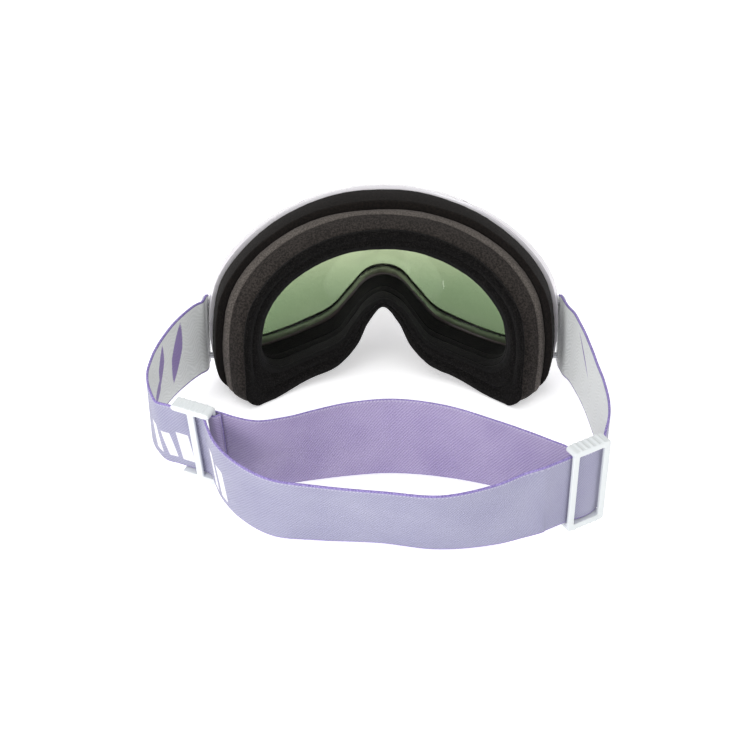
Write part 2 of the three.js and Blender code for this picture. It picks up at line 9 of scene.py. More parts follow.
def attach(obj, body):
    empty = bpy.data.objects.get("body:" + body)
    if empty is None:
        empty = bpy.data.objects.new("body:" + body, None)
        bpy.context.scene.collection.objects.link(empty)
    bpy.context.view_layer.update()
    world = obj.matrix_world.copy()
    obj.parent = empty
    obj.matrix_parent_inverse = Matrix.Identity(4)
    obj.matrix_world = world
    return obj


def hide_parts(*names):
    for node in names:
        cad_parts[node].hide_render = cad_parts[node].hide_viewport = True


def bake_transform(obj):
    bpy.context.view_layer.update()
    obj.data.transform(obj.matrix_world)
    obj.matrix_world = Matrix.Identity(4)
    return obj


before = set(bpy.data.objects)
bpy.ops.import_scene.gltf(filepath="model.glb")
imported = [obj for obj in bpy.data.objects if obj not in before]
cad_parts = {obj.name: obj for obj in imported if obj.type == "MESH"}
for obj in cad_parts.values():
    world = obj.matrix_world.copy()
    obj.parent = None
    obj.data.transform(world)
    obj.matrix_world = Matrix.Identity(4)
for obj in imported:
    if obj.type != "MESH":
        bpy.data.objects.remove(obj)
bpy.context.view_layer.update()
print("frame loaded:", len(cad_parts), "nodes")

# The layout of the eyepiece and the strap, in millimetres, as the frame has it.
lean = math.radians(16)
shift = np.array([-4.347, -5.638, 0.116])
restHeight = 0.2
faceDepth = 23
faceRadius = 95
frameRadius = 112
depths = {"skin": 2.7, "face": 13, "middle": 19.3, "base": 33.4, "frame": 34, "seat": 47.5}
gap = 0.3
strapWidth = 38
outlineSteps = 10

# Each outline: half its width, its heights at the side and the top, its roundness, its lower edge's points.
outlines = {
    "opening": (60.5, 34, 75, 2, [(60.5, 28), (58, 21.5), (52, 18), (44, 19.5), (34, 22.5), (22, 27.5),
                                  (15.5, 36), (9, 44.5), (0, 49)]),
    "face": (68.5, 38, 85, 2, [(68.3, 16), (67.5, 4.5), (61.5, 0), (52, 2.8), (38, 8.8), (24, 14),
                               (14, 24), (7.5, 36.5), (0, 44.5)]),
    "middleFront": (76.3, 38, 90, 2.1, [(76, 14), (74.5, 5.5), (67, 3), (54, 5), (39, 10), (25, 15),
                                        (15, 25), (8, 37), (0, 45)]),
    "middle": (80, 36, 91, 2.2, [(79.5, 15), (77.5, 7), (69, 5), (55, 6.8), (39, 11.5), (25, 16),
                                 (15, 26), (8, 38), (0, 45.5)]),
    "baseFront": (83, 40, 95, 2.1, [(82.6, 19), (80, 11), (70, 7.5), (55, 8.5), (40, 12), (26, 16.5),
                                    (15.5, 26.5), (8.2, 38.5), (0, 46)]),
    "base": (85.5, 42, 98, 2, [(85.3, 20), (82.5, 12.5), (72, 10.5), (56, 11.5), (40, 14), (26, 18),
                               (16, 28), (8.5, 39.5), (0, 46.5)]),
    "frame": (86.7, 46, 99.4, 1.95, [(86.4, 24), (83.2, 14.5), (72, 12), (56, 12.5), (40, 16), (27, 20),
                                     (17, 30), (9, 41), (0, 47.5)]),
    "seat": (86.4, 50, 95.5, 1.9, [(85.7, 28), (82, 18.5), (72, 16.5), (57, 17), (41, 18.5), (28, 22),
                                 (17.5, 32), (9.5, 43), (0, 49)]),
    "lens": (85.5, 49, 92.8, 1.9, [(84.6, 29), (80.6, 20), (71, 18), (57, 18.4), (41.5, 20.2), (28.3, 24),
                                   (17.6, 34), (9.4, 44.6), (0, 50)]),
    "window": (76.5, 46, 86, 2, [(76, 27), (72.5, 21.5), (65, 20.2), (54, 21.6), (43, 24.4), (28, 30.6),
                                 (17.5, 41.5), (9, 50.5), (0, 53.2)]),
}


# A smooth curve through points, with that many steps from one to the next.
def curveThrough(points, closed, steps):
    points = np.asarray(points, float)
    count = len(points)
    spans = count if closed else count - 1
    first = points[-1] if closed else 2 * points[0] - points[1]
    last = points[0] if closed else 2 * points[-1] - points[-2]
    beyond = points[1] if closed else last
    padded = np.vstack([first, points, last, beyond])
    made = []
    for i in range(spans):
        a, b, c, d = padded[i:i + 4]
        if not closed and i == spans - 1:
            d = last
        before, along, after = (max(np.linalg.norm(q - p), 1e-9) ** 0.5 for p, q in ((a, b), (b, c), (c, d)))
        start = ((b - a) / before - (c - a) / (before + along) + (c - b) / along) * along
        end = ((c - b) / along - (d - b) / (along + after) + (d - c) / after) * along
        bend = 3 * (c - b) - 2 * start - end
        twist = 2 * (b - c) + start + end
        t = np.linspace(0, 1, steps, endpoint=False)[:, None]
        made.append(b + start * t + bend * t ** 2 + twist * t ** 3)
    if not closed:
        made.append(points[-1:])
    return np.vstack(made)


# The brow is a rounded arch. The lower edge runs through its points, and the left half mirrors the right.
def traceOutline(half, side, top, power, low):
    turns = np.radians([0, 18, 36, 54, 72, 90])
    brow = [(half * math.sin(t) ** (2 / power), side + (top - side) * max(0, math.cos(t)) ** (2 / power))
            for t in turns]
    right = brow + list(low)
    left = [(-x, z) for x, z in right[-2:0:-1]]
    return curveThrough([(x, 0, z) for x, z in right + left], True, outlineSteps)


traced = {name: traceOutline(*values) for name, values in outlines.items()}


def between(first, second, share):
    return traced[first] * (1 - share) + traced[second] * share


# A line on the frame, some share of the way from its outside to the window.
def frameLine(share, depth):
    level = (depth - depths["frame"]) / (depths["seat"] - depths["frame"])
    return between("frame", "seat", level) * (1 - share) + traced["window"] * share


# Each level is an arc round the face, and the arcs get flatter towards the lens.
def levelY(x, depth):
    radius = faceRadius + (frameRadius - faceRadius) * np.minimum(1, depth / depths["base"])
    return radius - np.sqrt(radius ** 2 - x ** 2) - faceDepth - depth


# Puts a line on its curved level, and keeps it above the plane that the goggles rest on.
def place(line, depth):
    y = levelY(line[..., 0], depth)
    floor = -y * math.tan(lean) + restHeight
    return np.stack([line[..., 0], y, np.maximum(line[..., 2], floor)], -1)


# From millimetres to the frame's metres.
def toFrame(points):
    return (np.asarray(points) + shift) / 1000


# The eyepiece leans forward as it lies: this turns a point, or a grid of points, about the x axis.
def tipped(points):
    x, y, z = np.moveaxis(np.asarray(points, float), -1, 0)
    return np.stack([x, y * math.cos(lean) - z * math.sin(lean), y * math.sin(lean) + z * math.cos(lean)], -1)


# From the eyepiece's own axes to the frame's, in metres.
def leanForward(points):
    return toFrame(tipped(points))


def addObject(name, data):
    made = bpy.data.objects.new(name, data)
    bpy.context.scene.collection.objects.link(made)
    return made


# A grid of points as a mesh: rows run along a piece, columns round its section. Slots pick the materials.
def gridMesh(name, grid, closedRows=False, closedColumns=True, cover=None, slots=None, alongAcross=None,
             caps=(True, True)):
    rows, columns = grid.shape[:2]
    lastRow = rows if closedRows else rows - 1
    lastColumn = columns if closedColumns else columns - 1
    faces = []
    materialOf = []
    for r in range(lastRow):
        for c in range(lastColumn):
            below, right = (r + 1) % rows, (c + 1) % columns
            faces.append((r * columns + c, r * columns + right, below * columns + right, below * columns + c))
            materialOf.append(slots[c] if slots else 0)
    sides = len(faces)
    if not closedRows and closedColumns:
        ends = [tuple(reversed(range(columns))), tuple((rows - 1) * columns + c for c in range(columns))]
        faces += [end for end, wanted in zip(ends, caps) if wanted]
        materialOf += [slots[-1] if slots else 0] * (len(faces) - sides)
    mesh = bpy.data.meshes.new(name)
    mesh.from_pydata(grid.reshape(-1, 3).tolist(), [], faces)
    for material in cover if isinstance(cover, (list, tuple)) else [cover]:
        mesh.materials.append(material)
    mesh.polygons.foreach_set("material_index", materialOf)
    mesh.polygons.foreach_set("use_smooth", [i < sides for i in range(len(faces))])
    if alongAcross is not None:
        layer = mesh.uv_layers.new(name="alongAcross")
        corners = np.zeros(len(mesh.loops), int)
        mesh.loops.foreach_get("vertex_index", corners)
        layer.data.foreach_set("uv", alongAcross.reshape(-1, 2)[corners].ravel())
    tidy = bmesh.new()
    tidy.from_mesh(mesh)
    bmesh.ops.recalc_face_normals(tidy, faces=tidy.faces)
    tidy.to_mesh(mesh)
    tidy.free()
    return addObject(name, mesh)


# The corners of a section, rounded and with a little swell on each side, carried round the eyepiece.
def roundSection(corners, radii, swell, steps):
    arcSteps, sideSteps = steps
    placed = [place(line, depth) for line, depth in corners]
    count = len(placed)
    middle = sum(placed) / count
    around = np.roll(middle, -1, 0) - np.roll(middle, 1, 0)
    around /= np.linalg.norm(around, axis=1, keepdims=True)
    columns = []
    leave = []
    for k, corner in enumerate(placed):
        towards = []
        for other in (placed[k - 1], placed[(k + 1) % count]):
            away = other - corner
            length = np.linalg.norm(away, axis=1, keepdims=True) + 1e-6
            towards.append(corner + away / length * np.minimum(radii[k], 0.45 * length))
        leave.append(towards)
    for k, corner in enumerate(placed):
        start, end = leave[k]
        for t in np.linspace(0, 1, arcSteps):
            columns.append(start * (1 - t) ** 2 + corner * 2 * t * (1 - t) + end * t ** 2)
        upTo = leave[(k + 1) % count][0]
        out = np.cross(upTo - end, around)
        out /= np.linalg.norm(out, axis=1, keepdims=True) + 1e-6
        outward = (((end + upTo) / 2 - middle) * out).sum(1, keepdims=True)
        out *= np.where(outward < 0, -1, 1)
        for t in np.linspace(0, 1, sideSteps + 2)[1:-1]:
            columns.append(end * (1 - t) + upTo * t + out * swell[k] * 4 * t * (1 - t))
    return np.stack(columns, 1)


noise.seed_set(1)  # without it the unevenness would differ from run to run


# Small hollows and swellings, as soft foam has.
def roughen(points, size, height, seed):
    flat = points.reshape(-1, 3)
    moves = np.array([noise.noise_vector(Vector(p) / size + Vector((seed, seed, seed))) for p in flat])
    return points + (moves * height).reshape(points.shape)


def keepAboveFloor(points, height=0.0003):
    points[..., 2] = np.maximum(points[..., 2], height)
    return points


# Node helpers: one call makes a node, sets or links its inputs and returns its output.
def newMaterial(name):
    material = bpy.data.materials.new(name)
    material.use_nodes = True
    tree = material.node_tree
    shader = tree.nodes["Principled BSDF"]
    return material, tree, shader


def make(tree, kind, inputs=(), output=0, **settings):
    made = tree.nodes.new("ShaderNode" + kind)
    for key, value in settings.items():
        setattr(made, key, value)
    for key, value in dict(inputs).items():
        if isinstance(value, bpy.types.NodeSocket):
            tree.links.new(value, made.inputs[key])
        else:
            made.inputs[key].default_value = value
    return made.outputs[output]


def sums(tree, operation, first, second=0.0, third=None):
    inputs = {0: first, 1: second}
    if third is not None:
        inputs[2] = third
    return make(tree, "Math", inputs, operation=operation)


def colour(code):
    parts = [int(code[i:i + 2], 16) / 255 for i in (0, 2, 4)]
    return [p / 12.92 if p <= 0.04045 else ((p + 0.055) / 1.055) ** 2.4 for p in parts] + [1]


def blendColours(tree, share, first, second):
    return make(tree, "Mix", {0: share, 6: first, 7: second}, output=2, data_type="RGBA")


def paint(tree, shader, share, first, second):
    mixed = blendColours(tree, share, colour(first), colour(second))
    tree.links.new(mixed, shader.inputs["Base Color"])


def millimetres(tree):
    spot = make(tree, "TexCoord", output="Object")
    return make(tree, "VectorMath", {0: spot, 3: 1000.0}, operation="SCALE")


def softStep(tree, value, low, high):
    return make(tree, "MapRange", {0: value, 1: low, 2: high}, interpolation_type="SMOOTHSTEP")


shaderInputs = {
    "roughness": "Roughness", "metallic": "Metallic", "specular": "Specular IOR Level", "ior": "IOR",
    "sheen": "Sheen Weight", "sheenRoughness": "Sheen Roughness", "coat": "Coat Weight",
    "coatRoughness": "Coat Roughness", "transmission": "Transmission Weight", "scatter": "Subsurface Weight",
}


def setShader(shader, **values):
    for key, value in values.items():
        shader.inputs[shaderInputs[key]].default_value = value


def addBump(tree, shader, height, strength, distance):
    bump = make(tree, "Bump", {"Height": height, "Strength": strength, "Distance": distance})
    tree.links.new(bump, shader.inputs["Normal"])


# Bumps are given as a strength and a height in metres, here and below.
foamLook = {"cellSize": 0.55, "grainScale": 1.1, "patchScale": 0.06, "bump": (0.8, 0.0003)}


# Open cells with specks of light between them. Cell is the cells' size beside the usual one.
def foamMaterial(name, dark, light, cell=1.0, sheen=0.04):
    material, tree, shader = newMaterial(name)
    at = millimetres(tree)
    cells = make(tree, "TexVoronoi", {"Vector": at, "Scale": 1 / (foamLook["cellSize"] * cell)})
    grainScale = foamLook["grainScale"] / cell
    grain = make(tree, "TexNoise", {"Vector": at, "Scale": grainScale, "Detail": 6.0, "Roughness": 0.75})
    patches = make(tree, "TexNoise", {"Vector": at, "Scale": foamLook["patchScale"], "Detail": 2.0})
    speck = softStep(tree, grain, 0.42, 0.62)
    share = sums(tree, "MULTIPLY_ADD", patches, 0.3, sums(tree, "MULTIPLY", speck, 1.1))
    paint(tree, shader, share, dark, light)
    height = sums(tree, "MULTIPLY_ADD", cells, 0.6, grain)
    addBump(tree, shader, height, *foamLook["bump"])
    setShader(shader, roughness=0.95, specular=0.15, sheen=sheen, sheenRoughness=0.6)
    return material


fleeceLook = {"pileScale": 1.5, "napScale": 0.12, "bump": (0.6, 0.0003)}


def fleeceMaterial(name, dark, light):
    material, tree, shader = newMaterial(name)
    at = millimetres(tree)
    pileScale = fleeceLook["pileScale"]
    pile = make(tree, "TexNoise", {"Vector": at, "Scale": pileScale, "Detail": 7.0, "Roughness": 0.8})
    nap = make(tree, "TexNoise", {"Vector": at, "Scale": fleeceLook["napScale"], "Detail": 3.0})
    tufts = softStep(tree, pile, 0.46, 0.62)
    share = sums(tree, "MULTIPLY_ADD", tufts, 0.85, sums(tree, "MULTIPLY", nap, 0.12))
    paint(tree, shader, share, dark, light)
    addBump(tree, shader, pile, *fleeceLook["bump"])
    setShader(shader, roughness=1.0, specular=0.05, sheen=0.06, sheenRoughness=0.5)
    return material


plasticLook = {"flowScale": 0.05, "fineScale": 3.5, "polished": 0.85, "worn": 1.2, "bumpDistance": 0.00008,
               "coatRoughness": 0.08, "scatterReach": 0.002}


# Moulded plastic, a little more worn in some places than in others.
def plasticMaterial(name, tone, shade, roughness, coat=0.0, grain=0.15, scatter=0.0):
    material, tree, shader = newMaterial(name)
    at = millimetres(tree)
    flow = make(tree, "TexNoise", {"Vector": at, "Scale": plasticLook["flowScale"], "Detail": 3.0})
    fine = make(tree, "TexNoise", {"Vector": at, "Scale": plasticLook["fineScale"], "Detail": 3.0})
    paint(tree, shader, flow, tone, shade)
    low, high = roughness * plasticLook["polished"], roughness * plasticLook["worn"]
    tree.links.new(make(tree, "MapRange", {0: flow, 3: low, 4: high}), shader.inputs["Roughness"])
    addBump(tree, shader, fine, grain, plasticLook["bumpDistance"])
    setShader(shader, coat=coat, coatRoughness=plasticLook["coatRoughness"], scatter=scatter)
    shader.inputs["Subsurface Radius"].default_value = [plasticLook["scatterReach"]] * 3
    return material


steelLook = {"brushStretch": (0.4, 0.4, 6.0), "brushScale": 2.0, "bump": (0.2, 0.00005)}


def steelMaterial(name, dark, light):
    material, tree, shader = newMaterial(name)
    at = make(tree, "VectorMath", {0: millimetres(tree), 1: steelLook["brushStretch"]}, operation="MULTIPLY")
    brushed = make(tree, "TexNoise", {"Vector": at, "Scale": steelLook["brushScale"], "Detail": 4.0})
    paint(tree, shader, brushed, dark, light)
    tree.links.new(make(tree, "MapRange", {0: brushed, 3: 0.22, 4: 0.42}), shader.inputs["Roughness"])
    addBump(tree, shader, brushed, *steelLook["bump"])
    setShader(shader, metallic=1.0)
    return material


# The painted shade on the lens fades out between these heights, in millimetres.
lensLook = {"shadeFadeFrom": 12.0, "shadeFadeTo": 60.0, "cloudScale": 0.03, "cloudShare": 0.25, "ior": 1.3}


# Tinted sheet, darker towards its lower edge: the green is its own tint, the darkening towards the bottom is
# painted shade, for the shadowed floor seen through it.
def lensMaterial(name, low, high, roughness, metallic=0.0):
    material, tree, shader = newMaterial(name)
    at = millimetres(tree)
    height = make(tree, "SeparateXYZ", {0: at}, output=2)
    # Painted shade: the colour is darkest at the lower edge and lightens upwards.
    shadeFade = softStep(tree, height, lensLook["shadeFadeFrom"], lensLook["shadeFadeTo"])
    cloud = make(tree, "TexNoise", {"Vector": at, "Scale": lensLook["cloudScale"], "Detail": 1.0})
    share = sums(tree, "MULTIPLY_ADD", sums(tree, "SUBTRACT", cloud, 0.5), lensLook["cloudShare"], shadeFade)
    paint(tree, shader, share, low, high)
    setShader(shader, roughness=roughness, transmission=1.0, ior=lensLook["ior"], metallic=metallic)
    return material


# Millimetres along the strap from its end, and across it from its middle.
def strapPlace(tree):
    spot = make(tree, "UVMap", uv_map="alongAcross")
    split = tree.nodes.new("ShaderNodeSeparateXYZ")
    tree.links.new(spot, split.inputs[0])
    return spot, split.outputs[0], split.outputs[1]


# A wave of that period.
def ripples(tree, value, period):
    return sums(tree, "SINE", sums(tree, "MULTIPLY", value, 2 * math.pi / period))


# One between low and high, nothing outside them.
def within(tree, value, low, high, soft):
    starts = softStep(tree, value, low - soft, low + soft)
    ends = sums(tree, "SUBTRACT", 1.0, softStep(tree, value, high - soft, high + soft))
    return sums(tree, "MULTIPLY", starts, ends)


# Periods, bands and edges are in millimetres. Each bar: where it starts and ends along the strap, its bottom
# and top across it, and how far it leans.
webbingLook = {
    "edgeBand": 0.7, "edgeSoft": 0.15, "stitchBand": 0.6, "stitchStrength": 0.4, "stitchPeriod": 1.6,
    "stitchTone": "d9d4e6", "twillPeriod": 1.5, "twillSlant": -0.9, "pickPeriod": 0.8, "threadScale": 1.8,
    "patchScale": 0.04, "bump": (0.7, 0.00012), "barTone": "f1eff3", "barSoft": 0.4,
    "bars": [
        (86.5, 90.5, -14, 2, 0.2), (93.5, 98, -14, 0.5, 0.2), (102, 108.5, -14.5, 2.5, 0.1),
        (126, 131, -15.5, 5, 0.15), (135, 141, -15.5, 2.5, 0.15),
    ],
}


# A woven face, bound at its edges and stitched along its upper one.
def webbingMaterial(name, light, dark, edge, bars=()):
    look = webbingLook
    material, tree, shader = newMaterial(name)
    spot, along, across = strapPlace(tree)
    fromMiddle = sums(tree, "ABSOLUTE", across)
    slant = sums(tree, "MULTIPLY_ADD", across, look["twillSlant"], along)
    twill = ripples(tree, slant, look["twillPeriod"])
    picks = ripples(tree, across, look["pickPeriod"])
    threadScale = look["threadScale"]
    threads = make(tree, "TexNoise", {"Vector": spot, "Scale": threadScale, "Detail": 5.0, "Roughness": 0.85})
    patches = make(tree, "TexNoise", {"Vector": spot, "Scale": look["patchScale"], "Detail": 2.0})
    share = sums(tree, "MULTIPLY_ADD", twill, 0.16, sums(tree, "MULTIPLY_ADD", threads, 1.5, -0.35))
    share = sums(tree, "MULTIPLY_ADD", sums(tree, "SUBTRACT", patches, 0.5), 0.5, share)
    base = blendColours(tree, share, colour(dark), colour(light))
    for low, high, bottom, top, tilt in bars:
        leaning = sums(tree, "MULTIPLY_ADD", across, tilt, along)
        inside = within(tree, leaning, low, high, look["barSoft"])
        tall = within(tree, across, bottom, top, look["barSoft"])
        base = blendColours(tree, sums(tree, "MULTIPLY", inside, tall), base, colour(look["barTone"]))
    boundAt = strapWidth / 2 - look["edgeBand"]
    near = sums(tree, "ABSOLUTE", sums(tree, "SUBTRACT", across, boundAt - look["stitchBand"]))
    onLine = sums(tree, "SUBTRACT", 1.0, softStep(tree, near, 0.2, 0.45))
    onLine = sums(tree, "MULTIPLY", onLine, look["stitchStrength"])
    dashes = softStep(tree, ripples(tree, along, look["stitchPeriod"]), -0.3, 0.3)
    base = blendColours(tree, sums(tree, "MULTIPLY", onLine, dashes), base, colour(look["stitchTone"]))
    bound = softStep(tree, fromMiddle, boundAt - look["edgeSoft"], boundAt + look["edgeSoft"])
    base = blendColours(tree, bound, base, colour(edge))
    tree.links.new(base, shader.inputs["Base Color"])
    height = sums(tree, "MULTIPLY_ADD", twill, 0.5, sums(tree, "MULTIPLY_ADD", picks, 0.3, threads))
    addBump(tree, shader, height, *look["bump"])
    setShader(shader, roughness=0.9, specular=0.2, sheen=0.3, sheenRoughness=0.4)
    return material


# Each leaf: its middle along the strap and across it, half its length and height, and its slope.
gripLook = {
    "swingPace": 0.55, "swing": 1.6, "driftScale": 0.12, "drift": 7.0, "wavePeriod": 2.1, "pileScale": 1.6,
    "edgeFrom": 1.1, "edgeTo": 0.8, "bump": (0.6, 0.00025), "leafTone": "8d7bb0",
    "leaves": [
        (37.5, 2.5, 5, 14, 0.48), (52.5, 6, 3.2, 10, 0.4), (59.5, -5, 3.2, 5.5, 0.6), (403, 8, 1.4, 7, -1.4),
    ],
}


# The face that grips: a pale pile in waves, with a few woven leaves.
def gripMaterial(name, pale, dark, edge):
    look = gripLook
    material, tree, shader = newMaterial(name)
    spot, along, across = strapPlace(tree)
    fromMiddle = sums(tree, "ABSOLUTE", across)
    drift = make(tree, "TexNoise", {"Vector": spot, "Scale": look["driftScale"], "Detail": 1.0})
    swing = sums(tree, "SINE", sums(tree, "MULTIPLY", along, look["swingPace"]))
    swing = sums(tree, "MULTIPLY_ADD", drift, look["drift"], sums(tree, "MULTIPLY", swing, look["swing"]))
    waves = ripples(tree, sums(tree, "ADD", across, swing), look["wavePeriod"])
    pileScale = look["pileScale"]
    pile = make(tree, "TexNoise", {"Vector": spot, "Scale": pileScale, "Detail": 6.0, "Roughness": 0.8})
    share = sums(tree, "MULTIPLY_ADD", waves, 0.12, sums(tree, "MULTIPLY_ADD", pile, 0.7, 0.15))
    base = blendColours(tree, share, colour(dark), colour(pale))
    for middle, height, halfLength, halfHeight, slope in look["leaves"]:
        above = sums(tree, "SUBTRACT", across, height)
        beyond = sums(tree, "MULTIPLY_ADD", above, slope, sums(tree, "SUBTRACT", along, middle))
        reach = sums(tree, "DIVIDE", sums(tree, "ABSOLUTE", beyond), halfLength)
        rise = sums(tree, "DIVIDE", sums(tree, "ABSOLUTE", above), halfHeight)
        inside = sums(tree, "ADD", sums(tree, "POWER", reach, 1.3), sums(tree, "POWER", rise, 1.3))
        ragged = sums(tree, "MULTIPLY_ADD", sums(tree, "SUBTRACT", pile, 0.5), 0.5, inside)
        leaf = sums(tree, "SUBTRACT", 1.0, softStep(tree, ragged, 0.85, 1.05))
        base = blendColours(tree, leaf, base, colour(look["leafTone"]))
    bound = softStep(tree, fromMiddle, strapWidth / 2 - look["edgeFrom"], strapWidth / 2 - look["edgeTo"])
    base = blendColours(tree, bound, base, colour(edge))
    tree.links.new(base, shader.inputs["Base Color"])
    height = sums(tree, "MULTIPLY_ADD", waves, 0.3, pile)
    addBump(tree, shader, height, *look["bump"])
    setShader(shader, roughness=1.0, specular=0.1, sheen=0.3, sheenRoughness=0.5)
    return material


# Takes a piece's slot, what it stands in for, the body it rides and how much of its shell is full: it hides
# what it stands in for and sets it on its body. The slot and how much of its shell is full are not used.
def dress(piece, body, slot, *nodes, fill=None):
    if nodes:
        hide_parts(*nodes)
    if body:
        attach(piece, body)
    return piece


print("materials and helpers ready")

# Face foam: the fleece and three layers under it, each with soft edges and slightly swelling sides. The inner
# walls are at these shares of the way from the opening to the window.
foamShape = {
    "unevenness": 0.22, "waveSize": 22, "hollowSize": 3.5, "steps": (5, 7),
    "seamDepth": 0.3, "seamShare": 0.5, "seamHalf": 0.022,
    "faceBack": 0.12, "middleBack": 0.3, "baseBack": 0.8,
}


# The inner side is the one round the eyes, and it gets a near-black cover of painted shade, for the shade in
# the recess of the opening.
def foamLayer(name, corners, radii, swell, cover, seed, slot, node, fill, innerSide):
    grid = roundSection(corners, radii, swell, foamShape["steps"])
    grid = roughen(grid, foamShape["waveSize"], foamShape["unevenness"] * 2, seed)
    grid = roughen(grid, foamShape["hollowSize"], foamShape["unevenness"] * 0.5, seed + 7)
    columns = grid.shape[1]
    perSide = columns // len(corners)
    inside = range(innerSide * perSide, (innerSide + 1) * perSide + foamShape["steps"][0])
    slots = [1 if c in inside or c + columns in inside else 0 for c in range(columns)]
    made = keepAboveFloor(leanForward(grid))
    piece = gridMesh(name, made, closedRows=True, cover=[cover, foamInsideShade], slots=slots)
    return dress(piece, "goggles", slot, node, fill=fill)


fleece = fleeceMaterial("fleece", "050505", "262423")
foamDark = foamMaterial("foamDark", "171412", "37322f", 1.1)
foamGrey = foamMaterial("foamGrey", "433e3b", "655f5a", 0.9)
foamBlack = foamMaterial("foamBlack", "060403", "181310", 1.1)
foamVent = foamMaterial("foamVent", "101010", "2c2b2b", 1.8)
# Painted shade for the inner walls of every layer: near-black, as they sit in the shaded recess of the
# opening, whatever the foam's own colour.
foamInsideShade = foamMaterial("foamInsideShade", "060606", "141312", 1.0)


def makeFleece():
    seam, half, back = foamShape["seamShare"], foamShape["seamHalf"], depths["skin"]
    corners = [
        (traced["face"], 0.0), (traced["face"], back), (traced["opening"], back), (traced["opening"], 0.0),
        (between("opening", "face", seam - half), 0.0),
        (between("opening", "face", seam), foamShape["seamDepth"]),
        (between("opening", "face", seam + half), 0.0),
    ]
    radii = [1.4, 0.5, 0.5, 1.5, 0.2, 0.1, 0.2]
    swell = [0.15, 0, 0.1, 0.5, 0, 0, 0.6]
    foamLayer("face_fleece_pad", corners, radii, swell, fleece, 3, "fleece", "face_fleece", 0.9, 2)


def innerWall(share):
    return between("opening", "window", share)


def makeFaceFoam():
    front, back = depths["skin"] + gap, depths["face"]
    corners = [(traced["face"], front), (traced["middleFront"], back),
               (innerWall(foamShape["faceBack"]), back), (traced["opening"], front)]
    radii, swell = [0.9, 0.8, 0.5, 0.5], [0.5, 0, 0.4, 0]
    foamLayer("foam_face_pad", corners, radii, swell, foamDark, 11, "foam_dark", "foam_face", 0.9, 2)


def makeMiddleFoam():
    front, back = depths["face"] + gap, depths["middle"]
    corners = [(traced["middleFront"], front), (traced["middle"], back),
               (innerWall(foamShape["middleBack"]), back), (innerWall(foamShape["faceBack"]), front)]
    radii, swell = [0.9, 0.9, 0.5, 0.5], [0.35, 0, 0.3, 0]
    foamLayer("foam_middle_pad", corners, radii, swell, foamGrey, 19, "foam_grey", "foam_middle", 0.95, 2)


def makeBaseFoam():
    front, back = depths["middle"] + gap, depths["base"]
    corners = [(traced["middle"], front), (traced["baseFront"], front), (traced["base"], back),
               (innerWall(foamShape["baseBack"]), back), (innerWall(foamShape["middleBack"]), front)]
    radii, swell = [0.3, 1.4, 0.6, 0.5, 0.5], [0.1, 0.4, 0, 0.3, 0]
    foamLayer("foam_base_pad", corners, radii, swell, foamBlack, 29, "foam_black", "foam_base", 0.95, 3)


makeFleece()
makeFaceFoam()
makeMiddleFoam()
makeBaseFoam()
print("face foam made")

# Vent foam in the frame's channel. Each stretch counts the frame's facets from the middle of the brow.
ventShape = {
    "outer": 0.38, "inner": 0.66, "behindSeat": 0.8, "aheadOfFrame": 4.8, "edge": 0.6, "facetsPerPoint": 3,
    "hollowSize": 3, "hollowDepth": 0.15,
    "stretches": {
        "vent_foam_top": (-8, 8), "vent_foam_bottom_left": (27, 33), "vent_foam_bottom_right": (-33, -27),
    },
}


def ventFoam(node, stretch):
    front, back = depths["seat"] - ventShape["behindSeat"], depths["frame"] + ventShape["aheadOfFrame"]
    outer, inner = ventShape["outer"], ventShape["inner"]
    corners = [(frameLine(outer, front), front), (frameLine(inner, front), front),
               (frameLine(inner, back), back), (frameLine(outer, back), back)]
    grid = roundSection(corners, [ventShape["edge"]] * 4, [0.15, 0.1, 0.1, 0.1], foamShape["steps"])
    first, last = (round(facet * outlineSteps / ventShape["facetsPerPoint"]) for facet in stretch)
    chosen = [i % len(grid) for i in range(first, last + 1)]
    made = leanForward(roughen(grid[chosen], ventShape["hollowSize"], ventShape["hollowDepth"], 5))
    piece = gridMesh(node + "_pad", keepAboveFloor(made), cover=foamVent)
    return dress(piece, "goggles", "vent_foam", node, fill=0.9)


for ventName, ventStretch in ventShape["stretches"].items():
    ventFoam(ventName, ventStretch)
print("vent foam made")

# The lens: two panes, and the dark carrier with a lip round the opening.
lensShape = {
    "dome": 4.5, "thickness": 1.8, "innerThickness": 1.1, "aheadOfSeat": 3.4, "rest": 0.7, "spacer": 2.2,
    "innerShare": 0.04, "reach": 0.997, "columns": 120, "rows": 36,
}
innerDepth = depths["seat"] + lensShape["aheadOfSeat"]
outerDepth = innerDepth + lensShape["innerThickness"] + lensShape["rest"] + lensShape["spacer"]


# The lower and the upper edge of an outline, at each x.
def edgeHeights(line, xs):
    half = len(line) // 2
    side = line[:half + 1]
    widest = int(np.argmax(side[:, 0]))
    upper, lower = side[:widest + 1], side[widest:][::-1]
    reach = np.abs(xs)
    return np.interp(reach, lower[:, 0], lower[:, 2]), np.interp(reach, upper[:, 0], upper[:, 2])


def pane(name, line, depth, thickness, backCover, frontCover, slot, node):
    reach = line[:, 0].max() * lensShape["reach"]
    xs = reach * np.sin((np.linspace(0, 1, lensShape["columns"] + 1) - 0.5) * math.pi)
    low, high = edgeHeights(line, xs)
    share = np.linspace(0, 1, lensShape["rows"] + 1)
    bulge = lensShape["dome"] * (1 - (2 * share - 1) ** 2)[None, :] ** 2 * (1 - (xs / reach) ** 4)[:, None]
    flat = np.stack([np.repeat(xs[:, None], len(share), 1), np.zeros((len(xs), len(share))),
                     low[:, None] + (high - low)[:, None] * share[None, :]], -1)
    front = place(flat, depth + thickness)
    back = place(flat, depth)
    front[..., 1] -= bulge
    back[..., 1] -= bulge
    sections = np.concatenate([front, back[:, ::-1]], 1)
    perFace = len(share)
    slots = [1] * (perFace - 1) + [0] * (perFace + 1)
    piece = gridMesh(name, keepAboveFloor(leanForward(sections)), cover=[backCover, frontCover], slots=slots)
    return dress(piece, "lens", slot, node)


